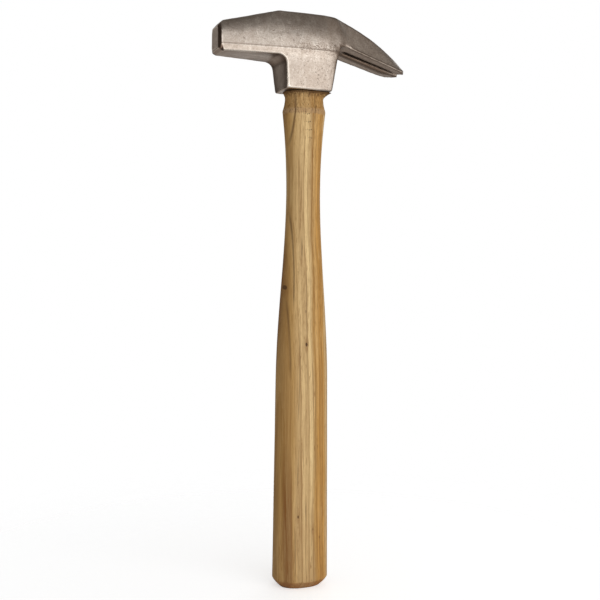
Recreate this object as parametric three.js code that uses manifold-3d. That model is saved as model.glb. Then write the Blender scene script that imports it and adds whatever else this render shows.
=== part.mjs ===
// A farrier's driving hammer: one forged steel head with a square poll and split claws, on a shaped
// wooden handle that is spread in the eye of the head by a wooden wedge and a steel cross wedge.
// Millimetres. X runs along the head (poll towards -X, claws towards +X), Z up the handle from its butt.
import * as THREE from "three";
import { mergeVertices } from "three/addons/utils/BufferGeometryUtils.js";
import Module from "manifold-3d";

// Handle: widths lie along the head, depths across it, drops are measured down from the head
const handleExposed = 284.6;
const buttWidth = 32.5;
const buttDepth = 25;
const buttChamferWidth = 4.3;
const buttChamferHeight = 4.8;
const buttRoundShare = 0.35;
const gripWidth = 30.4;
const gripDepth = 23.6;
const gripTop = 117;
const waistWidth = 19.6;
const waistDepth = 16.6;
const waistHeight = 228;
const ridgeWidth = 24.9;
const ridgeDepth = 20.8;
const ridgeDrop = 11;
const neckWidth = 22.2;
const neckDepth = 17.8;
const neckDrop = 3;
const collarWidth = 25;
const collarDepth = 18.2;
const handleSquareness = 2.2;

// Levels of the head, each measured up from the one before: socket, lower band, crown
const socketHeight = 17.9;
const bandHeight = 4.1;
const crownHeight = 20.95;

// Head in plan: reaches from the handle's axis, and full widths across the head
const pollReach = 53.5;
const faceEndWidth = 17.2;
const eyeFrontWidth = 26.6;
const cheekCentre = 7;
const cheekWidth = 29.8;
const clawRootReach = 24;
const clawRootWidth = 23.4;
const clawReach = 60.6;
const clawTipWidth = 17.8;

// Striking end: a flat face inside a bevel that is longer above and below than at the sides
const faceWidth = 11.8;
const faceBottomBevel = 1.5;
const faceTopBevel = 3.2;
const sideBevelLength = 1.1;
const endBevelLength = 2.8;

// Top line: a poll that rises to a flat pad round the eye, then the claws' back, bowed by a power
const pollTopDrop = 8;
const padFront = 18.9;
const padBack = 13.3;
const padCornerRound = 0.8;
const clawTopReach = 62.2;
const clawTopFall = 26.7;
const clawStraightShare = 0.3;
const clawBow = 2;

// Widths of the flat that runs along the top line
const faceFlatWidth = 9;
const padWidth = 17;
const clawRootFlatWidth = 9;
const clawTipFlatWidth = 7;

// Claws' underside, and the sharp edge along it
const clawTipBelowPoll = 3.7;
const clawUndersideSlope = 0.288;
const clawEdge = 0.5;
const clawFillet = 5.5;

// Cross-section: a band that leans out to the parting line, and the crown, which starts inside it.
// The crown's squareness sets how flat its shoulders end, its uprightness how steeply they start.
const bandLean = 1.2;
const partingStep = 0.25;
const lowerEdgeRadius = 0.7;
const faceSquareness = 2;
const faceUprightness = 2.4;
const eyeSquareness = 1.15;
const eyeUprightness = 2.1;
const clawSquareness = 1.05;
const clawUprightness = 1.05;

// Socket below the head, round the lower half of the eye
const socketFront = 14.3;
const socketFrontLean = 1.7;
const socketBack = 13.4;
const socketBackLean = 2.4;
const socketDepth = 20.6;
const socketCornerRadius = 1.2;
const socketBaseRadius = 1;
const socketProud = 0.04;
const pollFillet = 3.9;

// Eye: narrowest part way up and opening towards the top, so that the wedged wood cannot pull out
const eyeBaseWidth = 23.2;
const eyeBaseDepth = 14.6;
const eyeThroatWidth = 21.2;
const eyeThroatDepth = 13.2;
const eyeThroatHeight = 14;
const eyeTopWidth = 23.6;
const eyeTopDepth = 15;
const eyeSquarenessInPlan = 2.4;
const woodClearance = 0.3;
const woodBelowTop = 0.1;

// Slit between the two tines, off centre, and their hand-ground ends: one to a point, one round
const slitRoot = 25.6;
const slitRootWidth = 4;
const slitTipWidth = 3.2;
const slitOffset = 0.8;
const tipLean = 0.15;
const nearCornerLength = 2;
const nearCornerWidth = 3;
const nearInnerLength = 2;
const nearInnerWidth = 7;
const farCornerLength = 4.6;
const farCornerWidth = 8.6;
const farCornerBulge = 0.7;

// Wedges, driven down from the top of the eye: the wooden one along the head, the steel one across
const woodWedgeTop = 3.4;
const woodWedgeTip = 0.9;
const woodWedgeLength = 28;
const kerfRun = 3;
const steelWedgeTop = 2.8;
const steelWedgeTip = 0.8;
const steelWedgeWidth = 11.5;
const steelWedgeLength = 15;

// How far a cutting shape runs past what it cuts
const cutOverrun = 6;

// Counts of facets
const crownSteps = 18;
const ovalSteps = 44;
const pollSteps = 7;
const padSteps = 7;
const clawSteps = 15;
const filletSteps = 6;
const cornerSteps = 3;
const sideSteps = 8;
const eyeSteps = 9;
const gripSteps = 4;
const taperSteps = 12;
const neckSteps = 7;

// Heights in the head's own frame, whose origin is under the socket on the handle's axis
const underside = socketHeight;
const parting = underside + bandHeight;
const headTop = parting + crownHeight;

const wasm = await Module();
wasm.setup();

const mix = THREE.MathUtils.lerp;
const shares = (count) => Array.from({ length: count + 1 }, (_, step) => step / count);
const steady = (share) => share;
const easeInOut = (share) => THREE.MathUtils.smoothstep(share, 0, 1);
const quicken = (share) => share * share;
const slacken = (share) => 1 - quicken(1 - share);

// A smooth value along an axis, through [place, value] pairs in rising order of place.
function curveThrough(pairs) {
  const slopes = pairs.map((pair, index) => {
    const before = pairs[Math.max(index - 1, 0)];
    const after = pairs[Math.min(index + 1, pairs.length - 1)];
    return (after[1] - before[1]) / (after[0] - before[0]);
  });
  return (place) => {
    const past = pairs.findIndex((pair) => pair[0] > place);
    const index = past < 0 ? pairs.length - 2 : Math.max(past - 1, 0);
    const [start, end] = [pairs[index], pairs[index + 1]];
    const span = end[0] - start[0];
    const share = THREE.MathUtils.clamp((place - start[0]) / span, 0, 1);
    const startPull = share * (1 - share) * (1 - share) * span * slopes[index];
    const endPull = share * share * (share - 1) * span * slopes[index + 1];
    return mix(start[1], end[1], easeInOut(share)) + startPull + endPull;
  };
}

// A geometry as a solid that can be joined and cut.
function solidOf(geometry) {
  const bare = geometry.clone();
  bare.deleteAttribute("normal");
  bare.deleteAttribute("uv");
  const merged = mergeVertices(bare);
  const triVerts = new Uint32Array(merged.index.array);
  const vertProperties = new Float32Array(merged.attributes.position.array);
  return new wasm.Manifold(new wasm.Mesh({ numProp: 3, vertProperties, triVerts }));
}

// A solid through rings that run anticlockwise seen from the far end of the stack.
function loft(rings) {
  const perRing = rings[0].length;
  const points = rings.flat();
  const triangles = [];
  for (let ring = 0; ring + 1 < rings.length; ring++) {
    for (let step = 0; step < perRing; step++) {
      const here = ring * perRing + step;
      const next = ring * perRing + ((step + 1) % perRing);
      triangles.push(here, next, next + perRing, here, next + perRing, here + perRing);
    }
  }
  const closeEnd = (first, facesForward) => {
    const centre = new THREE.Vector3();
    const ring = points.slice(first, first + perRing);
    ring.forEach((point) => centre.addScaledVector(point, 1 / perRing));
    const hub = points.push(centre) - 1;
    for (let step = 0; step < perRing; step++) {
      const edge = [first + step, first + ((step + 1) % perRing)];
      triangles.push(hub, ...(facesForward ? edge : edge.reverse()));
    }
  };
  closeEnd(0, false);
  closeEnd((rings.length - 1) * perRing, true);
  const geometry = new THREE.BufferGeometry().setFromPoints(points);
  geometry.setIndex(triangles);
  return solidOf(geometry);
}

function mesh(name, solid, look) {
  const { vertProperties, triVerts } = solid.getMesh();
  const geometry = new THREE.BufferGeometry();
  geometry.setAttribute("position", new THREE.BufferAttribute(vertProperties, 3));
  geometry.setIndex(new THREE.BufferAttribute(triVerts, 1));
  geometry.computeVertexNormals();
  const piece = new THREE.Mesh(geometry, new THREE.MeshStandardMaterial(look));
  piece.name = name;
  return piece;
}

// A level oval ring, a superellipse: squareness 2 is an ellipse, more is fuller at the corners.
function ovalRing(width, depth, squareness, z) {
  const reach = (cosine) => Math.sign(cosine) * Math.abs(cosine) ** (2 / squareness);
  return shares(ovalSteps).slice(1).map((turn) => {
    const angle = turn * 2 * Math.PI;
    const x = (width / 2) * reach(Math.cos(angle));
    const y = (depth / 2) * reach(Math.sin(angle));
    return new THREE.Vector3(x, y, z);
  });
}

// The head's lines along X

const halfWidthAt = curveThrough([
  [-pollReach, faceEndWidth / 2],
  [-padFront, eyeFrontWidth / 2],
  [cheekCentre, cheekWidth / 2],
  [clawRootReach, clawRootWidth / 2],
  [clawReach, clawTipWidth / 2],
]);

function curveAlongHead(faceValue, eyeValue, rootValue, tipValue = rootValue) {
  return curveThrough([
    [-pollReach, faceValue],
    [-padFront, eyeValue],
    [padBack, eyeValue],
    [clawRootReach, rootValue],
    [clawReach, tipValue],
  ]);
}

const squarenessAt = curveAlongHead(faceSquareness, eyeSquareness, clawSquareness);
const uprightnessAt = curveAlongHead(faceUprightness, eyeUprightness, clawUprightness);
const flatWidthAt = curveAlongHead(faceFlatWidth, padWidth, clawRootFlatWidth, clawTipFlatWidth);

function topAt(x) {
  const pollLength = pollReach - endBevelLength - padFront;
  if (x < -padFront) return headTop - (pollTopDrop * (-padFront - x)) / pollLength;
  if (x < padBack) return headTop;
  const share = (x - padBack) / (clawTopReach - padBack);
  return headTop - clawTopFall * mix(share ** clawBow, share, clawStraightShare);
}

function clawUndersideAt(x) {
  return underside - clawTipBelowPoll + clawUndersideSlope * (clawReach - x);
}

function backWallAt(z) {
  return socketBack + (socketBackLean * z) / socketHeight;
}

// The rounded corner in which the socket's back wall turns into the claws' underside
function clawFilletCurve() {
  const wallSlope = socketBackLean / socketHeight;
  const lean = 1 + clawUndersideSlope * wallSlope;
  const cornerHeight = clawUndersideAt(socketBack) / lean;
  const corner = new THREE.Vector2(backWallAt(cornerHeight), cornerHeight);
  const low = new THREE.Vector2(backWallAt(cornerHeight - clawFillet), cornerHeight - clawFillet);
  const out = new THREE.Vector2(corner.x + clawFillet, clawUndersideAt(corner.x + clawFillet));
  return new THREE.QuadraticBezierCurve(low, corner, out);
}

// One cross-section of the head's body, from its lower edge up over the crown and down again.
function bodyRing({ x, halfWidth, bottom, partingHeight, top, flatHalf, squareness, uprightness }) {
  const band = partingHeight - bottom;
  const bandShare = Math.min(band / bandHeight, 1);
  const lowerHalf = halfWidth - bandLean * bandShare;
  const edge = lowerEdgeRadius * bandShare;
  const edgeCorner = edge * (1 - Math.SQRT1_2);
  const side = [
    [lowerHalf - edge, bottom],
    [lowerHalf - edgeCorner, bottom + edgeCorner],
    [mix(lowerHalf, halfWidth, edge / band), bottom + edge],
    [halfWidth, partingHeight],
  ];
  const crownHalf = halfWidth - partingStep * bandShare;
  for (const share of shares(crownSteps)) {
    const angle = (share * Math.PI) / 2;
    const y = mix(flatHalf, crownHalf, Math.cos(angle) ** (2 / squareness));
    const rise = Math.sin(angle) ** (2 / uprightness);
    side.push([y, mix(partingHeight, top, rise)]);
  }
  const farSide = side.map(([y, z]) => new THREE.Vector3(x, y, z));
  const nearSide = side.map(([y, z]) => new THREE.Vector3(x, -y, z)).reverse();
  const ridge = new THREE.Vector3(x, 0, top);
  return [new THREE.Vector3(x, 0, bottom), ...farSide, ridge, ...nearSide];
}

function bodySection(x, bottom) {
  const turned = easeInOut((x - padBack) / (clawRootReach - padBack));
  const sweep = mix(parting, clawUndersideAt(x) + clawEdge, turned);
  return {
    x,
    bottom,
    halfWidth: halfWidthAt(x),
    partingHeight: Math.max(sweep, bottom + clawEdge),
    top: topAt(x),
    flatHalf: flatWidthAt(x) / 2,
    squareness: squarenessAt(x),
    uprightness: uprightnessAt(x),
  };
}

// The striking end: the flat face, the sides' bevel, then the longer bevel above and below
function strikingEnd() {
  const full = bodySection(-pollReach + endBevelLength, underside);
  const bevelled = (x, share) => ({
    ...full,
    x,
    bottom: full.bottom + faceBottomBevel * share,
    top: full.top - faceTopBevel * share,
  });
  const face = { ...bevelled(-pollReach, 1), halfWidth: faceWidth / 2 };
  const shoulder = bevelled(-pollReach + sideBevelLength, 1 - sideBevelLength / endBevelLength);
  return [face, shoulder];
}

// The body of the head, lofted from the striking face to past the claws' tips.
function headBody() {
  const span = (from, to, count) => shares(count).map((share) => mix(from, to, share));
  const poll = span(-pollReach + endBevelLength, -padFront - padCornerRound, pollSteps);
  const pad = span(-padFront + padCornerRound, padBack, padSteps);
  const wallTop = backWallAt(underside);
  const fillet = clawFilletCurve().getPoints(filletSteps);
  const rootEnd = fillet[filletSteps].x;
  const claws = span(rootEnd, clawReach + cutOverrun, clawSteps).slice(1);
  const sections = [
    ...strikingEnd(),
    ...[...poll, ...pad, wallTop].map((x) => bodySection(x, underside)),
    ...fillet.map((point) => bodySection(point.x, point.y)),
    ...claws.map((x) => bodySection(x, clawUndersideAt(x))),
  ];
  return loft(sections.map(bodyRing));
}

// Socket

// Half the socket's depth at x: flat at its base, and the bowed band of the body at its top
function socketHalfDepthAt(x, z) {
  const bowed = halfWidthAt(x);
  if (z > underside) return mix(bowed - bandLean, bowed, (z - underside) / bandHeight);
  return mix(socketDepth / 2, bowed - bandLean, z / socketHeight);
}

function socketRing({ z, flare, inset }) {
  const front = -(socketFront + (socketFrontLean * z) / socketHeight) - flare + inset;
  const back = backWallAt(Math.min(z, underside)) - inset;
  const corner = shares(cornerSteps).map((share) => (share * Math.PI) / 2);
  const ends = corner.map((angle) => ({
    along: socketCornerRadius * (1 - Math.cos(angle)),
    loss: socketCornerRadius * (1 - Math.sin(angle)),
  }));
  const straight = shares(sideSteps).slice(1, -1);
  const places = [
    ...ends.map(({ along, loss }) => ({ x: front + along, loss })),
    ...straight.map((share) => ({ x: mix(front, back, share), loss: 0 })),
    ...ends.map(({ along, loss }) => ({ x: back - along, loss })).reverse(),
  ];
  const half = ({ x, loss }) => socketHalfDepthAt(x, z) + socketProud - inset - loss;
  const near = places.map((place) => new THREE.Vector3(place.x, -half(place), z));
  const far = places.map((place) => new THREE.Vector3(place.x, half(place), z)).reverse();
  return [...near, ...far];
}

function socket() {
  const quarter = shares(filletSteps).map((share) => (share * Math.PI) / 2);
  const base = quarter.map((angle) => ({
    z: socketBaseRadius * (1 - Math.cos(angle)),
    inset: socketBaseRadius * (1 - Math.sin(angle)),
    flare: 0,
  }));
  const fillet = quarter.map((angle) => ({
    z: underside - pollFillet * (1 - Math.sin(angle)),
    inset: 0,
    flare: pollFillet * (1 - Math.cos(angle)),
  }));
  const top = { z: parting - socketProud, inset: 0, flare: pollFillet };
  return loft([...base, ...fillet, top].map(socketRing));
}

// Eye

const eyeWidthAt = curveThrough([
  [0, eyeBaseWidth],
  [eyeThroatHeight, eyeThroatWidth],
  [headTop, eyeTopWidth],
]);

const eyeDepthAt = curveThrough([
  [0, eyeBaseDepth],
  [eyeThroatHeight, eyeThroatDepth],
  [headTop, eyeTopDepth],
]);

// The eye's rings from one height to another, drawn in by a clearance all round
function eyeRings(from, to, clearance) {
  return shares(eyeSteps).map((share) => {
    const z = mix(from, to, share);
    const width = eyeWidthAt(z) - 2 * clearance;
    return ovalRing(width, eyeDepthAt(z) - 2 * clearance, eyeSquarenessInPlan, z);
  });
}

// Slit and tips

function extrudeUp(outline, from, to) {
  const geometry = new THREE.ExtrudeGeometry(outline, {
    depth: to - from,
    bevelEnabled: false,
    curveSegments: filletSteps,
  });
  return geometry.translate(0, 0, from);
}

function slit() {
  const tipEnd = clawReach + cutOverrun;
  const rootHalf = slitRootWidth / 2;
  const outline = new THREE.Shape();
  outline.moveTo(tipEnd, slitTipWidth / 2);
  outline.lineTo(slitRoot, rootHalf);
  outline.absarc(slitRoot, 0, rootHalf, Math.PI / 2, -Math.PI / 2, false);
  outline.lineTo(tipEnd, -slitTipWidth / 2);
  return solidOf(extrudeUp(outline, 0, headTop + cutOverrun)).translate([0, -slitOffset, 0]);
}

// What is ground off past the ends of the tines, leaning out from the underside
function tipWaste() {
  const half = clawTipWidth / 2;
  const outline = new THREE.Shape();
  outline.moveTo(clawReach - nearCornerLength, -half - cutOverrun);
  outline.lineTo(clawReach - nearCornerLength, -half);
  outline.lineTo(clawReach, -half + nearCornerWidth);
  outline.lineTo(clawReach - nearInnerLength, -half + nearInnerWidth);
  outline.lineTo(clawReach - nearInnerLength, -slitOffset);
  outline.lineTo(clawReach, -slitOffset);
  outline.lineTo(clawReach, half - farCornerWidth);
  const bulgeX = clawReach - farCornerLength / 2 + farCornerBulge;
  const bulgeY = half - farCornerWidth / 2 + farCornerBulge;
  outline.quadraticCurveTo(bulgeX, bulgeY, clawReach - farCornerLength, half);
  outline.lineTo(clawReach - farCornerLength, half + cutOverrun);
  outline.lineTo(clawReach + 2 * cutOverrun, half + cutOverrun);
  outline.lineTo(clawReach + 2 * cutOverrun, -half - cutOverrun);
  const tipHeight = clawUndersideAt(clawReach);
  const geometry = extrudeUp(outline, -cutOverrun, 2 * cutOverrun);
  geometry.applyMatrix4(new THREE.Matrix4().makeShear(0, 0, 0, 0, tipLean, 0));
  return solidOf(geometry.translate(0, 0, tipHeight));
}

// Wedges and their slots

// A wedge that hangs down from a height: thick and thin across one axis, of one width along the other
function wedgeSolid({ top, tip, width, length, height, across }) {
  const outline = new THREE.Shape();
  outline.moveTo(-tip / 2, height - length);
  outline.lineTo(tip / 2, height - length);
  outline.lineTo(top / 2, height);
  outline.lineTo(-top / 2, height);
  const geometry = new THREE.ExtrudeGeometry(outline, { depth: width, bevelEnabled: false });
  geometry.translate(0, 0, -width / 2).rotateX(Math.PI / 2);
  if (across === "y") geometry.rotateZ(Math.PI / 2);
  return solidOf(geometry);
}

// A wedge's slot: its taper with a clearance at the sides, run below its tip and out over the head
function slotFor(wedge, run, width) {
  const taper = (wedge.top - wedge.tip) / wedge.length;
  return wedgeSolid({
    ...wedge,
    top: wedge.top + taper * cutOverrun + 2 * woodClearance,
    tip: wedge.tip - taper * run + 2 * woodClearance,
    length: wedge.length + cutOverrun + woodClearance + run,
    height: wedge.height + cutOverrun,
    width,
  });
}

const woodWedge = {
  top: woodWedgeTop,
  tip: woodWedgeTip,
  width: eyeTopWidth + cutOverrun,
  length: woodWedgeLength,
  height: headTop,
  across: "y",
};

const steelWedge = {
  top: steelWedgeTop,
  tip: steelWedgeTip,
  width: steelWedgeWidth,
  length: steelWedgeLength,
  height: headTop,
  across: "x",
};

// Assembly, in the head's own frame

const body = headBody();
const eye = loft(eyeRings(-cutOverrun, headTop + cutOverrun, 0));
const forging = body.add(socket()).subtract(eye).subtract(slit()).subtract(tipWaste());
const kerf = slotFor(woodWedge, kerfRun, woodWedge.width);
const crossSlot = slotFor(steelWedge, 0, steelWedgeWidth + 2 * woodClearance);

// The space over the crown, which what fills the eye is dressed down to
function aboveCrown() {
  const height = crownHeight + 2 * cutOverrun;
  const block = new THREE.BoxGeometry(2 * eyeTopWidth, 2 * eyeTopDepth, height);
  block.translate(0, 0, parting + height / 2);
  return solidOf(block).subtract(body.translate([0, 0, -woodBelowTop]));
}

const overhead = aboveCrown();

function tenon() {
  const wood = loft(eyeRings(-neckDrop, headTop + cutOverrun, woodClearance));
  return wood.subtract(overhead).subtract(kerf).subtract(crossSlot);
}

function woodenWedge() {
  const inEye = loft(eyeRings(0, headTop + cutOverrun, woodClearance));
  return wedgeSolid(woodWedge).intersect(inEye).subtract(overhead).subtract(crossSlot);
}

// The handle's outline from its butt up to the collar under the socket
function handleRings() {
  const butt = { z: buttChamferHeight, width: buttWidth, depth: buttDepth };
  const grip = { z: gripTop, width: gripWidth, depth: gripDepth };
  const waist = { z: waistHeight, width: waistWidth, depth: waistDepth };
  const ridge = { z: handleExposed - ridgeDrop, width: ridgeWidth, depth: ridgeDepth };
  const neck = { z: handleExposed - neckDrop, width: neckWidth, depth: neckDepth };
  const collar = { z: handleExposed - woodClearance, width: collarWidth, depth: collarDepth };
  const spans = [
    { from: butt, to: grip, ease: steady, count: gripSteps },
    { from: grip, to: waist, ease: easeInOut, count: taperSteps },
    { from: waist, to: ridge, ease: quicken, count: neckSteps },
    { from: ridge, to: neck, ease: slacken, count: neckSteps },
  ];
  const end = shares(cornerSteps).slice(0, -1).map((share) => {
    const inset = buttChamferWidth * mix(1 - share, quicken(1 - share), buttRoundShare);
    return { z: buttChamferHeight * share, width: buttWidth - 2 * inset, depth: buttDepth - 2 * inset };
  });
  const along = spans.flatMap(({ from, to, ease, count }) =>
    shares(count).slice(0, -1).map((share) => ({
      z: mix(from.z, to.z, share),
      width: mix(from.width, to.width, ease(share)),
      depth: mix(from.depth, to.depth, ease(share)),
    })),
  );
  const stations = [...end, ...along, neck, collar];
  return stations.map(({ z, width, depth }) => ovalRing(width, depth, handleSquareness, z));
}

const wood = { color: 0xb58f5c, roughness: 0.55, metalness: 0 };
const wedgeWood = { color: 0x9c7446, roughness: 0.7, metalness: 0 };
const forgedSteel = { color: 0x8f867d, roughness: 0.42, metalness: 1 };
const plainSteel = { color: 0x7c7975, roughness: 0.5, metalness: 1 };

const hammer = new THREE.Group();
hammer.add(mesh("handle", loft(handleRings()).add(tenon().translate([0, 0, handleExposed])), wood));

const headGroup = new THREE.Group();
headGroup.position.z = handleExposed;
headGroup.add(mesh("hammer_head", forging, forgedSteel));
headGroup.add(mesh("wooden_wedge", woodenWedge(), wedgeWood));
headGroup.add(mesh("steel_wedge", wedgeSolid(steelWedge).subtract(overhead), plainSteel));
hammer.add(headGroup);

export default hammer;
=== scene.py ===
import math

import bmesh
import bpy
import numpy as np
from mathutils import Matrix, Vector, noise


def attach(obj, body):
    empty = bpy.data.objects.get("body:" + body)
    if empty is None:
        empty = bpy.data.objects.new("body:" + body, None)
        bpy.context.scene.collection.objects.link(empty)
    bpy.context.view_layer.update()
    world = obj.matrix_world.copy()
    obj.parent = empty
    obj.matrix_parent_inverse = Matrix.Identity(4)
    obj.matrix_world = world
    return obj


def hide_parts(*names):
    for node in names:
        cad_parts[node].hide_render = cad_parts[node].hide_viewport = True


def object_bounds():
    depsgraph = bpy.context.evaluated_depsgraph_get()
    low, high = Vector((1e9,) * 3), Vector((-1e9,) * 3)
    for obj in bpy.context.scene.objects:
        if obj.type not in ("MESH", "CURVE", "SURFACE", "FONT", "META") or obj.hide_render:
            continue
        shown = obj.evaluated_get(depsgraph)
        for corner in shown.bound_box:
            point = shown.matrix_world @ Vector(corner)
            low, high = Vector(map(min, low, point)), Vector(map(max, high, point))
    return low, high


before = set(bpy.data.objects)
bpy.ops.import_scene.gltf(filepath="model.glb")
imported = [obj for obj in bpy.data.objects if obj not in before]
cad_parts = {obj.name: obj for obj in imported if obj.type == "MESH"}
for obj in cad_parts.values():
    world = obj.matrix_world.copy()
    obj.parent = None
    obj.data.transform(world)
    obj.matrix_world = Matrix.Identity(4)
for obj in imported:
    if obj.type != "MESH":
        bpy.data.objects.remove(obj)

cad_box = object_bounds()


# Handle: one stick of straight-grained ash, shaved to an oval that swells at the grip and thins at
# the waist, sanded, and lacquered up to a ridge. Above that its neck and tenon are left bare, and
# driving the head on has torn a burr out of the collar.
MM = 0.001
handle_size = {
    # in millimetres, apart from the shares and the squareness
    "Butt width": 32.5,
    "Butt depth": 25.0,
    "Chamfer width": 4.3,
    "Chamfer height": 4.8,
    "Chamfer round share": 0.35,
    "Grip width": 30.4,
    "Grip depth": 23.6,
    "Grip top": 117.0,
    "Waist width": 19.6,
    "Waist depth": 16.6,
    "Waist height": 228.0,
    "Ridge width": 24.9,
    "Ridge depth": 20.8,
    "Ridge height": 273.6,
    "Neck width": 22.2,
    "Neck depth": 17.8,
    "Neck height": 281.6,
    "Collar width": 25.0,
    "Collar depth": 18.2,
    "Collar height": 284.3,
    "Burr reach": 3.0,
    "Burr height": 3.8,
    "Burr forward share": 0.8,
    "Squareness": 2.2,
    "Unevenness": 0.2,
}
uneven_grain = (0.9, 0.9, 0.03)
sides_round_handle = 128
rows_up_handle = 340
weld_distance = 0.002
sharp_wood_angle = 35


class Wire:
    """A node socket that takes part in sums: each sum adds the Math node that works it out."""

    def __init__(self, tree, socket=None):
        self.tree = tree
        self.socket = socket

    def node(self, kind, settings=(), inputs=(), output=0):
        """Adds a node, makes its settings, fills its inputs and returns one of its outputs."""
        made = self.tree.nodes.new(kind)
        for name, value in dict(settings).items():
            if name != "stops":
                setattr(made, name, value)
                continue
            stops = made.color_ramp.elements
            stops[0].color, stops[1].color = value[0.0], value[1.0]
            for place in list(value)[1:-1]:
                stops.new(place).color = value[place]
        for key, value in dict(inputs).items():
            if isinstance(value, Wire):
                self.tree.links.new(value.socket, made.inputs[key])
            else:
                made.inputs[key].default_value = value
        return Wire(self.tree, made.outputs[output] if made.outputs else None)

    def maths(self, operation, *terms):
        return self.node("ShaderNodeMath", {"operation": operation}, enumerate(terms))

    def vector_maths(self, operation, *terms, output=0):
        settings = {"operation": operation}
        return self.node("ShaderNodeVectorMath", settings, enumerate(terms), output)

    def __add__(self, other):
        return self.maths("ADD", self, other)

    def __radd__(self, other):
        return self.maths("ADD", other, self)

    def __sub__(self, other):
        return self.maths("SUBTRACT", self, other)

    def __rsub__(self, other):
        return self.maths("SUBTRACT", other, self)

    def __mul__(self, other):
        return self.maths("MULTIPLY", self, other)

    def __rmul__(self, other):
        return self.maths("MULTIPLY", other, self)

    def __truediv__(self, other):
        return self.maths("DIVIDE", self, other)

    def __rtruediv__(self, other):
        return self.maths("DIVIDE", other, self)

    def __pow__(self, other):
        return self.maths("POWER", self, other)

    def __abs__(self):
        return self.through("ABSOLUTE")

    def through(self, operation):
        """This value after a Math node that takes one term."""
        return self.maths(operation, self)

    def greater(self, other):
        return self.maths("MAXIMUM", self, other)

    def length(self):
        return self.vector_maths("LENGTH", self, output=1)

    def along(self, way):
        """How far this vector goes along another one."""
        return self.vector_maths("DOT_PRODUCT", self, way, output=1)

    def rise(self, low, high, start=0.0, end=1.0, kind="LINEAR"):
        """Goes from start to end while this value goes from low to high, and holds outside them."""
        inputs = enumerate((self, low, high, start, end))
        return self.node("ShaderNodeMapRange", {"interpolation_type": kind}, inputs)

    def pick(self, first, second):
        """Mixes two colours: the first where this value is 0, the second where it is 1."""
        settings = {"data_type": "RGBA"}
        return self.node("ShaderNodeMix", settings, {0: self, 6: first, 7: second}, 2)

    def parts(self):
        split = self.node("ShaderNodeSeparateXYZ", inputs={0: self})
        return [Wire(self.tree, out) for out in split.socket.node.outputs]

    def joined(self, x, y, z):
        return self.node("ShaderNodeCombineXYZ", inputs={0: x, 1: y, 2: z})

    def speckle(self, fineness, start=(0, 0, 0), detail=3.0, roughness=0.5):
        """Noise at this place: its fineness is how fast it changes along x, y and z."""
        vector = self.vector_maths("MULTIPLY_ADD", self, fineness, start)
        inputs = {"Vector": vector, "Scale": 1.0, "Detail": detail, "Roughness": roughness}
        return self.node("ShaderNodeTexNoise", {"noise_dimensions": "3D"}, inputs)


def handle_tree():
    """The rule of the handle's shape: oval rings whose width and depth follow the height."""
    tree = bpy.data.node_groups.new("shaved_handle", "GeometryNodeTree")
    for name in handle_size:
        tree.interface.new_socket(name, in_out="INPUT", socket_type="NodeSocketFloat")
    tree.interface.new_socket("Material", in_out="INPUT", socket_type="NodeSocketMaterial")
    tree.interface.new_socket("Geometry", in_out="OUTPUT", socket_type="NodeSocketGeometry")
    start = Wire(tree)
    given = start.node("NodeGroupInput").socket.node
    size = {out.name: Wire(tree, out) for out in given.outputs}
    rings = {"Vertices": sides_round_handle, "Side Segments": rows_up_handle, "Radius": 1.0}
    rings["Depth"] = size["Collar height"]
    stick = start.node("GeometryNodeMeshCylinder", {"fill_type": "NGON"}, rings)
    x, y, z = start.node("GeometryNodeInputPosition").parts()
    z = z + size["Collar height"] / 2

    to_waist = z.rise(size["Grip top"], size["Waist height"], kind="SMOOTHSTEP")
    to_ridge = z.rise(size["Waist height"], size["Ridge height"])
    below_neck = 1 - z.rise(size["Ridge height"], size["Neck height"])
    to_collar = z.rise(size["Neck height"], size["Collar height"])
    to_grip = z.rise(size["Chamfer height"], size["Grip top"])
    uncut = 1 - z.rise(0.0, size["Chamfer height"])
    round_share = size["Chamfer round share"]
    cut = size["Chamfer width"] * (uncut * (1 - round_share) + uncut * uncut * round_share)

    def across(measure):
        """The handle's width or depth at each height."""
        butt, grip = size[f"Butt {measure}"], size[f"Grip {measure}"]
        waist, ridge = size[f"Waist {measure}"], size[f"Ridge {measure}"]
        neck, collar = size[f"Neck {measure}"], size[f"Collar {measure}"]
        lower = butt + (grip - butt) * to_grip + (waist - grip) * to_waist
        upper = (ridge - waist) * to_ridge * to_ridge + (neck - ridge) * (1 - below_neck * below_neck)
        return lower + upper + (collar - neck) * to_collar - cut * 2

    def reach(direction):
        """How far a ring of width 2 goes out in a direction: a little squarer than an ellipse."""
        return direction.through("SIGN") * abs(direction) ** (2 / size["Squareness"])

    waver = x.joined(x, y, z).speckle(uneven_grain, detail=2.0) - 0.5
    swell = size["Unevenness"] * waver * z.rise(0.0, size["Chamfer height"])
    to_burr = z.rise(size["Collar height"] - size["Burr height"], size["Collar height"])
    front_right = x.rise(0.2, 0.7) * y.rise(0.0, -0.5)
    burr = size["Burr reach"] * to_burr * to_burr * front_right
    flat_x = reach(x) * (across("width") / 2 + swell) + burr
    flat_y = reach(y) * (across("depth") / 2 + swell) - burr * size["Burr forward share"]
    placed = x.joined(flat_x * MM, flat_y * MM, z * MM)
    shaped = start.node("GeometryNodeSetPosition", inputs={"Geometry": stick, "Position": placed})
    plain = start.node("GeometryNodeRealizeInstances", inputs={"Geometry": shaped})
    inputs = {"Geometry": plain, "Material": size["Material"]}
    finished = start.node("GeometryNodeSetMaterial", inputs=inputs)
    start.node("NodeGroupOutput", inputs={0: finished})
    return tree


def plain_mesh(piece):
    """Turns what a piece's modifiers make into its own mesh, and takes the modifiers off."""
    seen = piece.evaluated_get(bpy.context.evaluated_depsgraph_get())
    made = bpy.data.meshes.new_from_object(seen)
    piece.modifiers.clear()
    piece.data = made
    return made


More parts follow.
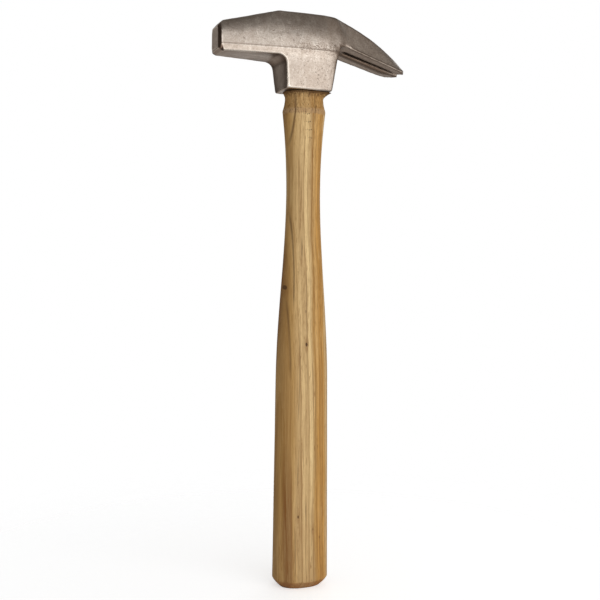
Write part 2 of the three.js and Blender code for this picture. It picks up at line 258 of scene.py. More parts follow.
def add_piece(name, mesh):
    piece = bpy.data.objects.new(name, mesh)
    bpy.context.scene.collection.objects.link(piece)
    return piece


def merged_copy(node):
    """A CAD node's mesh with its loose triangles joined up."""
    joined = bmesh.new()
    joined.from_mesh(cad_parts[node].data)
    bmesh.ops.remove_doubles(joined, verts=joined.verts, dist=weld_distance * MM)
    return joined


def tenon_mesh(floor_height, material):
    """What the CAD handle has above a height, closed below: the tenon with its two slots."""
    tenon = merged_copy("handle")
    everything = [*tenon.verts, *tenon.edges, *tenon.faces]
    cut = {"plane_co": (0, 0, floor_height * MM), "plane_no": (0, 0, 1)}
    bmesh.ops.bisect_plane(tenon, geom=everything, clear_inner=True, **cut)
    bmesh.ops.holes_fill(tenon, edges=[edge for edge in tenon.edges if edge.is_boundary])
    bmesh.ops.recalc_face_normals(tenon, faces=tenon.faces)
    mesh = bpy.data.meshes.new("tenon")
    tenon.to_mesh(mesh)
    tenon.free()
    mesh.materials.append(material)
    return mesh


def soften(mesh, sharp_above):
    """Shades a mesh smoothly, apart from its edges over an angle in degrees."""
    mesh.shade_smooth()
    mesh.set_sharp_from_angle(angle=math.radians(sharp_above))


# The wood's colours, its growth rings, and where its marks lie: across and up the handle, in mm
wood_light = (1.0, 0.72, 0.35, 1)
wood_pale = (0.85, 0.585, 0.275, 1)
wood_honey = (0.60, 0.345, 0.112, 1)
wood_tan = (0.42, 0.225, 0.07, 1)
wood_orange = (0.74, 0.40, 0.11, 1)
wood_brown = (0.27, 0.112, 0.026, 1)
wood_dark = (0.075, 0.034, 0.014, 1)
wood_bare = (0.54, 0.31, 0.11, 1)
wood_scraped = (0.62, 0.41, 0.235, 1)
wood_handled = (0.36, 0.14, 0.045, 1)
band_span = (-16.0, 16.0)
bands = {
    # share of the way across the stick, from the side with the striking face
    0.0: wood_tan,
    0.07: wood_honey,
    0.12: wood_brown,
    0.215: wood_brown,
    0.26: wood_honey,
    0.33: wood_pale,
    0.42: wood_pale,
    0.50: wood_light,
    0.61: wood_light,
    0.66: wood_honey,
    0.73: wood_orange,
    0.86: wood_orange,
    0.92: wood_pale,
    1.0: wood_tan,
}
ring_width = 2.4
ring_lean = 0.35
grain_slope = 0.013
drift_reach = 2.5
waver_reach = 2.0
grain_lines = [
    # lowest and highest point of each line as (across, height), its bow sideways, width and depth
    {"from": (-10.6, 252.0), "to": (-7.9, 286.0), "bow": 0.7, "width": 0.75, "depth": 0.7},
    {"from": (-8.8, 160.0), "to": (-9.8, 218.0), "bow": 1.1, "width": 0.6, "depth": 0.65},
    {"from": (-10.3, 120.0), "to": (-11.9, 168.0), "bow": 0.4, "width": 0.8, "depth": 0.5},
    {"from": (-1.3, 37.0), "to": (-1.5, 54.0), "bow": 0.0, "width": 0.4, "depth": 0.7},
    {"from": (-7.5, 2.0), "to": (-7.6, 38.0), "bow": 0.2, "width": 0.35, "depth": 0.6},
    {"from": (-6.3, 58.0), "to": (-6.1, 78.0), "bow": 0.0, "width": 0.4, "depth": 0.55},
    {"from": (-3.9, 188.0), "to": (-3.9, 203.0), "bow": 0.0, "width": 0.6, "depth": 0.7},
    {"from": (2.2, 262.0), "to": (2.9, 289.0), "bow": 0.4, "width": 0.6, "depth": 0.6},
    {"from": (-6.4, 96.0), "to": (-5.6, 152.0), "bow": 0.5, "width": 0.4, "depth": 0.45},
    {"from": (-0.9, 112.0), "to": (-1.5, 186.0), "bow": -0.3, "width": 0.35, "depth": 0.35},
    {"from": (4.4, 60.0), "to": (3.6, 128.0), "bow": 0.4, "width": 0.35, "depth": 0.35},
]
line_taper = 8
knots = [
    # place across, height, radius and depth
    (-12.0, 173.0, 0.9, 0.8),
    (-1.6, 140.8, 0.75, 1.0),
    (-5.9, 42.5, 0.6, 0.75),
    (3.0, 34.7, 0.5, 0.4),
    (7.6, 29.6, 0.6, 0.35),
    (-2.0, 159.5, 0.6, 0.35),
]
pin_rows = [
    # place across, height and count of pricks
    (-4.0, 271.0, 4),
    (-3.2, 266.6, 4),
    (-2.4, 262.2, 4),
    (-0.9, 257.8, 3),
]
pin_step = 1.05
pin_stagger = 0.3
pin_radius = 0.32
pith = (-21, 30)
arcs_per_mm = 4.2
tenon_top = 327.0


class Finish:
    """A material as it builds up: the place on the piece in mm, and the colour, roughness and
    relief that its grain and then each mark give it."""

    def __init__(self, name):
        self.material = bpy.data.materials.new(name)
        self.material.use_nodes = True
        tree = self.material.node_tree
        tree.nodes.clear()
        self.start = Wire(tree)
        self.shader = self.start.node("ShaderNodeBsdfPrincipled")
        self.start.node("ShaderNodeOutputMaterial", inputs={"Surface": self.shader})
        in_metres = self.start.node("ShaderNodeTexCoord", output=3)
        self.place = self.start.vector_maths("MULTIPLY", in_metres, (1 / MM, 1 / MM, 1 / MM))
        self.x, self.y, self.z = self.place.parts()

    def paint(self, share, colour):
        """Lays a colour over what is there, as thickly as the share from 0 to 1 says."""
        self.colour = share.pick(self.colour, colour)

    def feed(self, **values):
        """Joins wires to the shader, or sets its sockets where a plain number is given."""
        for name, value in values.items():
            socket = self.shader.socket.node.inputs[name.replace("_", " ")]
            if isinstance(value, Wire):
                self.start.tree.links.new(value.socket, socket)
            else:
                socket.default_value = value

    def finished(self, relief_strength, relief_depth, **constants):
        """Gives the shader all that was built up, and returns the material."""
        inputs = {"Strength": relief_strength, "Distance": relief_depth * MM, "Height": self.relief}
        bump = self.start.node("ShaderNodeBump", inputs=inputs)
        self.feed(Base_Color=self.colour, Roughness=self.roughness, Normal=bump, **constants)
        return self.material


def spot(finish, across, height, radius, squash=1.0):
    """1 at a place seen from the front, falling to 0 at the radius. Squashing its height makes
    the spot longer along the stick."""
    aside = finish.x - across
    above = (finish.z - height) * squash
    return 1 - (aside * aside + above * above).rise(0.0, radius * radius)


def lay_ash_grain(wood):
    """Growth rings cut into bands along the stick, with darker late wood, fibres and pores."""
    drift = wood.place.speckle((0, 0, 0.012), start=(3.0, 7.0, 0), detail=1.0) - 0.5
    wood.waver = wood.place.speckle((0.3, 0.3, 0.02), detail=2.0) - 0.5
    across = wood.x + wood.z * grain_slope + drift * drift_reach + wood.waver * waver_reach
    ring = (across + wood.y * ring_lean) / ring_width
    within = ring.through("FRACT")
    ring_number = across.joined(ring.through("FLOOR"), 0.0, wood.z)
    tone = ring_number.speckle((5.3, 0, 0.003), start=(0, 1.7, 0))
    along = across.joined(across, wood.y, wood.z)
    wood.fine = along.speckle((2.0, 2.0, 0.025), roughness=0.65)
    wood.fibre = along.speckle((4.5, 4.5, 0.2), detail=2.0, roughness=0.7)
    pores = along.speckle((3.2, 3.2, 0.2), detail=1.0).rise(0.62, 0.7)
    pores = pores * (within.rise(0.5, 0.2) * 0.6 + 0.4)
    late_wood = within.rise(0.6, 0.95) * within.rise(1.0, 0.95)

    wood.colour = wood.start.node("ShaderNodeValToRGB", {"stops": bands}, {0: across.rise(*band_span)})
    wood.paint(tone.rise(0.5, 0.62) * 0.35, wood_brown)
    wood.paint(tone.rise(0.5, 0.38) * 0.2, wood_light)
    wood.paint(late_wood * 0.5, wood_brown)
    wood.paint(wood.fine.rise(0.5, 0.66) * 0.5, wood_brown)
    wood.paint(wood.fine.rise(0.46, 0.3) * 0.45, wood_pale)
    wood.paint(wood.fibre.rise(0.4, 0.75) * 0.3, wood_brown)
    wood.paint(pores * 0.6, wood_brown)
    wood.roughness = 0.48 + wood.fine * 0.14 + wood.fibre * 0.1
    wood.relief = wood.fine * 0.5 + wood.fibre * 0.4 - pores * 0.7 - late_wood * 0.2


def lighten_face_side(wood):
    """The stick's edge below the striking face is an even honey colour from the grip upwards."""
    aside = wood.x.rise(-5.0, -9.0)
    above_grip = wood.z.rise(50.0, 85.0)
    below_ridge = wood.z.rise(276.0, 268.0)
    honeyed = aside * above_grip * below_ridge * wood.front
    wood.paint(honeyed * (0.75 - wood.fine * 0.5), wood_honey)


def bare_the_neck(wood):
    """Above the lacquer's ragged end: bare scuffed wood, with a scraped ridge and torn cracks."""
    ridge = handle_size["Ridge height"]
    lacquer_end = wood.z + (wood.fibre - 0.5) * 3
    bare = lacquer_end.rise(ridge - 2.2, ridge - 1.6)
    scraped = bare * wood.z.rise(ridge + 1.6, ridge + 0.4)
    wood.scuffs = wood.place.speckle((1.5, 1.5, 0.5), detail=4.0, roughness=0.7)
    torn = abs(wood.place.speckle((0.8, 0.8, 0.07), detail=2.0) - 0.5)
    cracks = torn.rise(0.0, 0.035, 1, 0) * wood.scuffs.rise(0.35, 0.55)
    wood.paint(bare * 0.55, wood_bare)
    wood.paint(bare * wood.scuffs.rise(0.42, 0.62) * 0.5, wood_brown)
    wood.paint(scraped * 0.4, wood_scraped)
    wood.paint(bare * cracks * 0.8, wood_dark)
    wood.roughness += bare * 0.22
    wood.relief += bare * (wood.scuffs - cracks)


def grime_and_shadow_under_head(wood):
    """Dirt and rust that creep down from the joint with the head, darkened further as painted shadow
    under the head, solid right at the joint.
    """
    joint = handle_size["Collar height"]
    creeping = wood.z.rise(joint - 4.0, joint - 1.0) * wood.scuffs.rise(0.38, 0.58)
    at_joint = wood.z.rise(joint - 1.5, joint - 0.7)
    # the dark here is dirt, and painted shadow right under the head
    wood.paint(creeping.greater(at_joint) * 0.8, wood_dark)


def draw_grain_lines(wood):
    """Dark lines along the grain, each bowed a little and fading out at both ends."""
    wander = (wood.fine - 0.5) * 0.5
    for line in grain_lines:
        (low_x, low_z), (high_x, high_z) = line["from"], line["to"]
        along = wood.z.rise(low_z, high_z)
        bow = along * (1 - along) * (4 * line["bow"])
        middle = along * (high_x - low_x) + low_x + bow
        ends = wood.z.rise(low_z, low_z + line_taper) * wood.z.rise(high_z, high_z - line_taper)
        dark = abs(wood.x - middle + wander).rise(0.0, line["width"], 1, 0) * ends * wood.front
        wood.paint(dark * line["depth"], wood_dark)
        wood.relief -= dark


def draw_knots(wood):
    """Pin knots, each with a brown halo drawn out along the grain."""
    for across, height, radius, depth in knots:
        ragged = across - (wood.fibre - 0.5) * 0.8
        heart = spot(wood, ragged, height, radius, squash=0.6) * wood.front
        halo = spot(wood, across, height, radius * 2.0, squash=0.25) * wood.front
        wood.paint(halo * 0.5 * depth, wood_brown)
        wood.paint(heart.rise(0.0, 0.5) * 0.9 * depth, wood_dark)
        wood.relief -= heart


def prick_below_ridge(wood):
    """Short rows of pricks below the ridge, each row deeper to the right."""
    for across, height, count in pin_rows:
        for order in range(count):
            lift = pin_stagger * (order % 2)
            radius = pin_radius + 0.05 * order
            prick = spot(wood, across + pin_step * order, height + lift, radius) * wood.front
            wood.paint(prick * (0.45 + 0.15 * order), wood_dark)
            wood.relief -= prick


def darken_butt(wood):
    """Dirt from the hand that thins up the grip, and the redder cut of the chamfer."""
    chamfer_height = handle_size["Chamfer height"]
    handled = wood.z.rise(60.0, 0.0) * wood.place.speckle((0.3, 0.3, 0.1)).rise(0.4, 0.8)
    chamfer = wood.z.rise(chamfer_height, chamfer_height - 0.8)
    wood.paint(handled * 0.25 + chamfer * 0.5, wood_handled)


def ring_sawn_ends(wood):
    """End grain at the butt and on top of the tenon: arcs round a pith outside the stick."""
    sawn = wood.z.rise(0.6, 0.1).greater(wood.z.rise(tenon_top - 0.4, tenon_top))
    from_pith = wood.x.joined(wood.x - pith[0], wood.y - pith[1], 0.0).length()
    arcs = (from_pith * arcs_per_mm + wood.waver * 3).through("SINE")
    wood.paint(sawn * (0.35 + arcs * 0.2), wood_brown)


def wood_material(name, marks=()):
    """Ash with its grain, and the marks that are given: those that work and use have left on it, and
    painted shadow under the head, most of them in front.
    """
    wood = Finish(name)
    lay_ash_grain(wood)
    wood.front = wood.y.rise(1.0, -3.0)
    for leave_mark in marks:
        leave_mark(wood)
    return wood.finished(relief_strength=0.4, relief_depth=0.12, Specular_IOR_Level=0.18)


marks_on_handle = [
    lighten_face_side,
    bare_the_neck,
    grime_and_shadow_under_head,
    draw_grain_lines,
    draw_knots,
    prick_below_ridge,
    darken_butt,
    ring_sawn_ends,
]
handle_wood = wood_material("lacquered_ash", marks_on_handle)
handle = add_piece("handle_stick", bpy.data.meshes.new("handle_stick"))
shaping = handle.modifiers.new("shaping", "NODES")
shaping.node_group = handle_tree()
socket_of = {item.name: item.identifier for item in shaping.node_group.interface.items_tree}
for size_name, value in handle_size.items():
    shaping[socket_of[size_name]] = value
shaping[socket_of["Material"]] = handle_wood
plain_mesh(handle)
tenon = add_piece("tenon_stub", tenon_mesh(handle_size["Collar height"] - 1, handle_wood))
joining = handle.modifiers.new("joining", "BOOLEAN")
joining.operation = "UNION"
joining.solver = "EXACT"
joining.object = tenon
soften(plain_mesh(handle), sharp_wood_angle)
bpy.data.objects.remove(tenon)
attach(handle, "root")
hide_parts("handle")


# Hammer head: one steel forging with the striking poll, the socket round the eye and the split claws.
# The dies met at the line round its sides. It was trimmed, ground at the face and the tips, and
# tumbled, which left a satin grey with bright rubbed edges.

# In millimetres, apart from passes and shares: how its edges are rounded, then its parting line and
# swells, then the places that its claws' shape, its stains and its painted shade are measured from
head_cell = 0.42
rounding_passes = 4
rounding_back = -0.42
wear_passes = 28
eye_reach = (11.8, 7.5)
rim_share = 0.12
rim_floor = 325.0
tip_reach = 57.0
held_share = 0.9
blending_passes = 75
blend_from, blend_to = 9.0, 28.0
blend_off_middle = 8.0

parting_height = 306.5
parting_back = 15.0
groove_reach = 0.55
groove_depth = 0.2
outer_side = 7.5
swell_height = 0.11
swell_sink = 0.6
broad_swells, fine_swells = 110, 260

claw_root = 20.0
underside_at_root = 310.3
underside_fall = 0.28
claw_back_from = 14.0
claw_back_lift = 0.5
claw_end_from = 35.0
claw_end_lift = 0.8
far_tine_from, far_tine_to = 17.0, 60.0
far_tine_drop = 1.1
face_front = -53.5
bevel_back = -51.6
poll_underside = 300.0
socket_front = -13.4
slot_from, slot_to = 14.0, 56.0
slot_half_width = 2.4


def positions(mesh):
    points = np.empty(len(mesh.vertices) * 3)
    mesh.vertices.foreach_get("co", points)
    return points.reshape(-1, 3)


def move_to(mesh, points):
    mesh.vertices.foreach_set("co", points.ravel())
    mesh.update()


def vertex_normals(mesh):
    normals = np.empty(len(mesh.vertices) * 3)
    mesh.vertex_normals.foreach_get("vector", normals)
    return normals.reshape(-1, 3)


def edge_ends(mesh):
    ends = np.empty(len(mesh.edges) * 2, int)
    mesh.edges.foreach_get("vertices", ends)
    return ends.reshape(-1, 2)


def step(values, start, length):
    """0 before the start, and 1 from a length past it on."""
    return np.clip((values - start) / length, 0, 1)


def smoothed(points, ends, passes, hold=0.0, share=0.5):
    """Moves each point a share of the way to its neighbours' mean, less where it is held."""
    first, second = ends.T
    count = len(points)
    neighbours = np.bincount(first, minlength=count) + np.bincount(second, minlength=count)
    for _ in range(passes):
        total = np.empty_like(points)
        for axis in range(3):
            total[:, axis] = np.bincount(first, points[second, axis], count)
            total[:, axis] += np.bincount(second, points[first, axis], count)
        points = points + (total / neighbours[:, None] - points) * (1 - hold) * share
    return points


def kept_sharp(points):
    """How firmly each point is held while edges are rounded: the eye's thin rim and the tips."""
    x, y, z = points.T
    from_rim = np.abs(np.hypot(x / eye_reach[0], y / eye_reach[1]) / MM - 1)
    thin_rim = np.clip(2 - from_rim / rim_share, 0, 1) * (z > rim_floor * MM)
    sharp_tip = x > tip_reach * MM
    return held_share * np.maximum(thin_rim, sharp_tip)


def at_crown_turn(points):
    """1 on the upper sides where the crown turns into the claws, and 0 elsewhere."""
    x, y, z = (points / MM).T
    along = step(x, blend_from, 4) * np.clip((blend_to - x) / 6, 0, 1)
    return along * step(np.abs(y), blend_off_middle, 2) * step(z, parting_height + 2, 3)


def above_claw_underside(points):
    """How high each point lies over the straight line along the claws' underside, in mm."""
    past_root = points[:, 0] / MM - claw_root
    return points[:, 2] / MM - (underside_at_root - underside_fall * past_root)


def claw_back_rise(points):
    """How far each point of the claws' back stands up from the plain forging."""
    x = points[:, 0] / MM
    high = step(above_claw_underside(points), 0, 6)
    along = step(x, claw_back_from, 8) * (1 + claw_end_lift * step(x, claw_end_from, 12))
    return claw_back_lift * high * along


def far_tine_sag(points):
    """How far each point of the far claw's lower half hangs below the near one's."""
    x, y = points[:, 0] / MM, points[:, 1] / MM
    low = 1 - step(above_claw_underside(points), 0, 5)
    along = step(x, far_tine_from, 5) * np.clip((far_tine_to - x) / 10, 0.3, 1)
    return far_tine_drop * low * along * step(y, 1, 1)


def rounded(points, ends):
    """The points with their edges rounded, the crown blended into the claws and the claws set."""
    held = kept_sharp(points)[:, None]
    points = smoothed(points, ends, rounding_passes, hold=held)
    # passes that go the other way give back the size that the first ones took
    points = smoothed(points, ends, rounding_passes, hold=held, share=rounding_back)
    points = smoothed(points, ends, blending_passes, hold=1 - at_crown_turn(points)[:, None])
    points[:, 2] += (claw_back_rise(points) - far_tine_sag(points)) * MM
    return points


def forging_relief(points):
    """How far out each point goes, in mm: soft swells all over, and the groove at the parting."""
    x, y, z = (points / MM).T
    groove = np.clip(1 - np.abs(z - parting_height) / groove_reach, 0, 1)
    groove *= np.clip((parting_back - x) / 4, 0, 1) * (np.abs(y) > outer_side)
    swells = [noise.noise(point * broad_swells) + noise.noise(point * fine_swells) / 2
              for point in map(Vector, points)]
    # the swells are sunk, so that the forging keeps about its own size
    return (np.array(swells) - swell_sink) * swell_height - groove * groove_depth


def finish_forging(mesh):
    """Rounds the forging, keeps how far each point stands out as its wear, and adds the relief."""
    ends = edge_ends(mesh)
    points = rounded(positions(mesh), ends)
    move_to(mesh, points)
    normals = vertex_normals(mesh)
    standing_out = ((points - smoothed(points, ends, wear_passes)) * normals).sum(1) / MM
    wear = mesh.attributes.new("edge_wear", "FLOAT", "POINT")
    wear.data.foreach_set("value", standing_out)
    outwards = normals * forging_relief(points)[:, None] * MM
    move_to(mesh, np.clip(points + outwards, *cad_box))
    mesh.shade_smooth()


# The steel's colours: from the bright of rubbed edges to the black painted in the slot as shade and at
# the bevels' sides
steel_bright = (0.78, 0.73, 0.66, 1)
steel_pale = (0.47, 0.415, 0.365, 1)
steel_grey = (0.40, 0.34, 0.29, 1)
steel_dull = (0.27, 0.22, 0.18, 1)
steel_edge_shade = (0.17, 0.133, 0.107, 1)
steel_brown = (0.13, 0.09, 0.065, 1)
steel_scale = (0.23, 0.165, 0.13, 1)
steel_black = (0.06, 0.038, 0.028, 1)


def lay_tumbled_grain(steel):
    """Cloudy greys with a sandy grain, as a tumbling barrel leaves them."""
    cloud = steel.place.speckle((0.12, 0.12, 0.12), detail=4.0, roughness=0.6)
    blotch = steel.place.speckle((0.3, 0.3, 0.15), start=(0, 0, 4), roughness=0.6)
    sand = steel.place.speckle((1.9, 1.9, 1.9), detail=2.0, roughness=0.7)
    steel.mottle = steel.place.speckle((0.8, 0.8, 0.8), detail=5.0, roughness=0.7)
    edge = steel.start.node("ShaderNodeAttribute", {"attribute_name": "edge_wear"}, output=2)
    steel.ragged = steel.mottle - 0.5
    steel.edge = edge + steel.ragged * 0.1
    steel.off_middle = abs(steel.y)

    steel.colour = cloud.rise(0.35, 0.68).pick(steel_pale, steel_grey)
    steel.paint(blotch.rise(0.52, 0.3) * 0.35, steel_bright)
    steel.paint(steel.mottle.rise(0.46, 0.68) * 0.55, steel_dull)
    steel.paint(sand.rise(0.5, 0.7) * 0.4, steel_dull)
    steel.paint(sand.rise(0.46, 0.3) * 0.3, steel_bright)
    steel.roughness = 0.27 + steel.mottle * 0.12 + sand * 0.06
    steel.relief = sand * 0.5 + steel.mottle * 0.8


def brush_socket(steel):
    """The socket's sides are brushed up and down, and a little duller."""
    on_socket = steel.z.rise(parting_height, parting_height - 6)
    strokes = steel.place.speckle((1.1, 1.1, 0.1))
    steel.paint(strokes.rise(0.5, 0.7) * on_socket * 0.3, steel_dull)
    steel.paint(steel.z.rise(303.0, 297.0) * 0.3, steel_dull)
    steel.relief += strokes * on_socket * 0.3


def pit(steel):
    """Small brown pits all over, and brown where the surface is hollow."""
    pits = steel.place.speckle((1.15, 1.15, 1.15), start=(9, 0, 0), detail=2.0).rise(0.66, 0.74)
    steel.paint(pits * 0.6, steel_brown)
    steel.paint(steel.edge.rise(-0.04, -0.2) * 0.55, steel_brown)
    steel.relief -= pits * 1.2


def rub_edges(steel):
    """The poll's and the socket's edges are rubbed bright, below the crown."""
    ahead_of_claws = steel.x.rise(9.0, 0.0)
    below_crown = steel.z.rise(323.0, 316.0)
    rubbed = steel.edge.rise(0.06, 0.18) * ahead_of_claws * below_crown
    steel.paint(rubbed * 0.65, steel_bright)
    steel.roughness -= rubbed * 0.1


def shade_crown_turn(steel):
    """The crown is painted a little darker where it turns down to the claws, as painted shade."""
    at_turn = steel.x.rise(-8.0, 4.0) * steel.x.rise(30.0, 18.0) * steel.z.rise(311.0, 317.0)
    steel.paint(at_turn * 0.2, steel_dull)


def shade_claw_edges(steel):
    """The claws' edges are painted dark as shade over their edge highlights, least near their roots
    and towards the near tip.
    """
    on_claws = steel.x.rise(10.0, 15.0)
    near_root = steel.x.rise(19.5, 21.5) * steel.x.rise(28.0, 24.0) * steel.y.rise(-5.0, -7.0)
    near_tip = steel.x.rise(36.0, 50.0) * steel.y.rise(-2.5, -4.0)
    darkness = 0.8 - near_root * 0.45 - near_tip * 0.25
    steel.paint(steel.edge.rise(0.0, 0.09) * on_claws * darkness, steel_edge_shade)


def shade_far_tine(steel):
    """Brown painted shade along the far tine's edge of the nail slot, where the near tine shades it.
    """
    beside_slot = steel.y.rise(0.8, 1.2) * steel.y.rise(5.0, 3.5)
    along_slot = steel.x.rise(slot_from + 1, slot_from + 4) * steel.x.rise(slot_to, slot_to - 4)
    steel.paint(beside_slot * along_slot * 0.75, steel_brown)


def draw_parting(steel):
    """The line where the dies met, with painted shade along its groove, pocked above the socket, on
    the outer sides only.
    """
    on_sides = steel.off_middle.rise(outer_side - 1.5, outer_side)
    above = steel.z - parting_height
    line = abs(above + steel.ragged * 0.3).rise(0.15, 0.55, 1, 0)
    line = line * on_sides * steel.x.rise(parting_back, parting_back - 5)
    over_socket = steel.x.rise(-14.0, -4.0) * steel.x.rise(17.0, 13.0)
    beside_line = abs(above - 1.2).rise(3.6, 1.2) * over_socket
    pocks = steel.place.speckle((1.6, 1.6, 1.6), start=(3, 0, 0), detail=2.0).rise(0.52, 0.58)
    # the die line's groove, darkened as painted shade
    steel.paint(line * (0.3 + steel.mottle * 0.7), steel_brown)
    steel.paint(pocks * beside_line * on_sides * 0.75, steel_brown)


def shade_claw_root(steel):
    """Mottled brown painted shade in the corner between the socket and the claws."""
    along = steel.x.rise(11.5, 14.5) * steel.x.rise(21.0, 18.0)
    up = steel.z.rise(313.0, 309.0) * steel.z.rise(296.0, 300.0)
    steel.paint(along * up * steel.mottle.rise(0.3, 0.6) * 0.6, steel_brown)


def shade_under_poll(steel):
    """Brown painted shade on the socket's wall under the poll and beside it, most towards their outer
    edges.
    """
    socket_taper = steel.z.rise(301.0, 285.0, 0.0, 2.8)
    poll_taper = steel.x.rise(-40.0, -15.0, -2.5, 0.0)
    half_depth = 12.4 - socket_taper + poll_taper
    from_edge = half_depth - steel.off_middle + steel.ragged * 0.8
    near_edge = from_edge.rise(0.1, 0.6) * from_edge.rise(8.0, 2.5)
    under_poll = steel.x.rise(socket_front, socket_front - 0.8) * steel.x.rise(-36.0, -22.0)
    steel.paint(near_edge * under_poll * steel.z.rise(303.4, 302.9) * 0.9, steel_brown)


def leave_scale_on_bevel(steel):
    """The bevels at the poll's sides are painted dark brown, blackest where they meet the sides."""
    narrowing = steel.z.rise(312.0, 324.0) * 3.5
    at_side = (steel.off_middle + narrowing).rise(5.5, 6.1)
    cut_corner = steel.z.rise(306.0, 301.0) * 2.2 + steel.ragged * 0.8
    before_side = (steel.x - cut_corner).rise(bevel_back, bevel_back - 0.6)
    behind_face = steel.x.rise(face_front + 0.05, face_front + 0.2)
    above_underside = steel.z.rise(poll_underside - 0.2, poll_underside + 0.6)
    scale = at_side * before_side * behind_face * above_underside
    steel.paint(scale, steel_scale)
    steel.paint(scale * steel.x.rise(bevel_back - 0.6, bevel_back), steel_black)


def shade_slot_inside(steel):
    """The nail slot is painted black inside as shade, most on the near tine's wall."""
    between_tines = steel.off_middle.rise(slot_half_width, slot_half_width - 0.5)
    in_slot = between_tines * steel.x.rise(slot_from, slot_from + 3)
    near_wall = steel.y.rise(-0.6, -1.4)
    steel.paint(in_slot * (0.1 + near_wall * 0.35), steel_black)


def tumbled_steel():
    """Tumbled forged steel, with the marks of forging and use, and painted shade, on it in the order
    they are laid.
    """
    steel = Finish("tumbled_steel")
    lay_tumbled_grain(steel)
    brush_socket(steel)
    pit(steel)
    rub_edges(steel)
    shade_crown_turn(steel)
    shade_claw_edges(steel)
    shade_far_tine(steel)
    draw_parting(steel)
    shade_claw_root(steel)
    shade_under_poll(steel)
    leave_scale_on_bevel(steel)
    shade_slot_inside(steel)
    return steel.finished(relief_strength=0.5, relief_depth=0.2, Metallic=1.0)


head = add_piece("forged_head", bpy.data.meshes.new("forged_head"))
loose = merged_copy("hammer_head")
loose.to_mesh(head.data)
loose.free()
remesh = head.modifiers.new("cells", "REMESH")
remesh.mode = "VOXEL"
remesh.voxel_size = head_cell * MM
finish_forging(plain_mesh(head))
head.data.materials.clear()
head.data.materials.append(tumbled_steel())
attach(head, "root")
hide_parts("hammer_head")


# Wooden wedge: a slip of hardwood driven into the saw cut along the tenon, which spreads it in the
# eye, and trimmed off flush with the top of the head.
wooden_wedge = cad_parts["wooden_wedge"]
wooden_wedge.material_slots[0].material = wood_material("bare_hardwood")


# Steel wedge: a cut slip of mild steel driven across the wooden one after it, then filed flush.
# The file has left its scratches, and rust has started in places.
wedge_steel = (0.36, 0.35, 0.335, 1)
wedge_rust = (0.20, 0.12, 0.075, 1)


def filed_mild_steel():
    wedge = Finish("filed_mild_steel")
    rust = wedge.place.speckle((0.9, 0.9, 0.9), detail=4.0).rise(0.5, 0.7)
    wedge.colour = (rust * 0.6).pick(wedge_steel, wedge_rust)
    wedge.roughness = 0.35 + rust * 0.3
    wedge.relief = wedge.place.speckle((0.6, 6.0, 1.2))
    return wedge.finished(relief_strength=0.3, relief_depth=0.1, Metallic=1.0)


steel_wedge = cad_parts["steel_wedge"]
steel_wedge.material_slots[0].material = filed_mild_steel()


# Studio: a pale table top under the butt, a white backdrop, one broad soft lamp in front and a faint
# one behind, and a camera a little below the level of the head.
camera_place = (-0.2010, -0.5000, 0.1840)
camera_turn = (88.05, -0.53, -21.75)
camera_lens = 55.93
camera_sensor = 36
table_radius = 400
table_fade = (50, 320)
table_white = (0.9, 0.9, 0.9, 1)
table_glow = (0.55, 0.55, 0.55, 1)
black = (0, 0, 0, 1)
white = (1, 1, 1, 1)


def add_camera():
    optics = bpy.data.cameras.new("camera")
    optics.sensor_width = camera_sensor
    optics.lens = camera_lens
    camera = bpy.data.objects.new("camera", optics)
    camera.location = camera_place
    camera.rotation_euler = [math.radians(turn) for turn in camera_turn]
    bpy.context.scene.collection.objects.link(camera)
    bpy.context.scene.camera = camera


def add_lamp(name, place, aim, size, power):
    lamp = bpy.data.lights.new(name, "AREA")
    lamp.shape = "RECTANGLE"
    lamp.size, lamp.size_y = size
    lamp.energy = power
    holder = bpy.data.objects.new(name, lamp)
    holder.location = place
    holder.rotation_euler = (Vector(aim) - Vector(place)).to_track_quat("-Z", "Y").to_euler()
    holder.visible_camera = False
    bpy.context.scene.collection.objects.link(holder)


def table_top():
    """A disc of pale table that fades into the white round it."""
    table = Finish("pale_table")
    seen = table.start.node("ShaderNodeLightPath", output=0)
    table.feed(Base_Color=table_white, Roughness=0.9, Specular_IOR_Level=0.1)
    table.feed(Emission_Color=seen.pick(black, table_glow), Emission_Strength=1.0)
    table.feed(Alpha=table.place.length().rise(*table_fade, 1.0, 0.0, "SMOOTHSTEP"))
    disc = bmesh.new()
    bmesh.ops.create_circle(disc, cap_ends=True, radius=table_radius * MM, segments=96)
    mesh = bpy.data.meshes.new("table_top")
    disc.to_mesh(mesh)
    disc.free()
    mesh.materials.append(table.material)
    return add_piece("table_top", mesh)


# What the bare steel mirrors: the room's walls, by the way a mirrored ray goes, and its floor
backdrop_way = (0.37, 0.93, 0.0)
past_face_way = (-0.28, 0.93, 0.23)
room_grey = (0.19, 0.173, 0.158, 1)
room_right = (0.50, 0.45, 0.41, 1)
room_dark_left = (0.03, 0.025, 0.02, 1)
room_far_low = (0.12, 0.107, 0.096, 1)
room_past_face = (0.45, 0.405, 0.37, 1)
floor_far = (0.215, 0.178, 0.153, 1)
floor_near = (0.42, 0.365, 0.325, 1)
floor_lit = (0.95, 0.89, 0.84, 1)
dim_light = (0.33, 0.33, 0.33, 1)


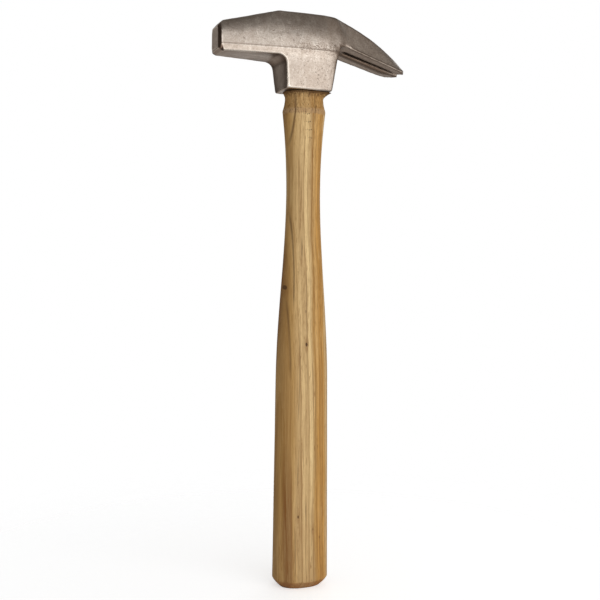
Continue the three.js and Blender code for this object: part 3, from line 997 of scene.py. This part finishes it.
def mirrored_room(way):
    """A grey room: lighter to the right, dark at the far left, with a floor lit from the front."""
    side, depth, height = way.parts()
    to_right = side.rise(0.38, 0.62) * depth.rise(0.2, -0.1)
    to_far_left = side.rise(-0.55, -0.7) * depth.rise(-0.2, 0.2) * depth.rise(0.96, 0.86)
    far_and_low = height.rise(0.2, 0.05) * depth.rise(0.2, 0.5)
    room = to_right.pick(room_grey, room_right)
    room = to_far_left.pick(room, room_dark_left)
    room = far_and_low.pick(room, room_far_low)
    floor = height.rise(-0.2, -0.42).pick(floor_far, floor_near)
    floor = depth.rise(0.2, -0.4).pick(floor, floor_lit)
    room = height.rise(0.0, -0.2).pick(room, floor)
    past_face = way.along(past_face_way).rise(0.88, 0.97) * height.rise(0.06, 0.18)
    return past_face.pick(room, room_past_face)


def studio_world():
    """White for what the camera sees and for mirrored rays that meet the backdrop, the grey room
    for the other mirrored ones, and a dim even light for the rest."""
    world = bpy.data.worlds.new("studio")
    world.use_nodes = True
    tree = world.node_tree
    tree.nodes.clear()
    start = Wire(tree)
    way = start.node("ShaderNodeTexCoord", output=0)
    height = way.parts()[2]
    backdrop = way.along(backdrop_way).rise(0.97, 1.0) * height.rise(-0.06, 0.0)
    camera_ray = start.node("ShaderNodeLightPath", output=0)
    glossy_ray = start.node("ShaderNodeLightPath", output=3)
    through_ray = start.node("ShaderNodeLightPath", output=6)
    meets_white = camera_ray.greater(glossy_ray.greater(through_ray) * backdrop)
    light = glossy_ray.pick(dim_light, mirrored_room(way))
    light = meets_white.pick(light, white)
    background = start.node("ShaderNodeBackground", inputs={"Color": light, "Strength": 1.0})
    start.node("ShaderNodeOutputWorld", inputs={"Surface": background})
    return world


add_camera()
add_lamp("key_lamp", place=(0.38, -1.0, 0.36), aim=(0.38, 0, 0.36), size=(1.45, 1.04), power=7.5)
add_lamp("back_lamp", place=(0.6, 0.8, 0.5), aim=(0, 0, 0.2), size=(0.9, 0.9), power=2.0)
table_top()
bpy.context.scene.world = studio_world()
bpy.context.scene.view_settings.view_transform = "Standard"
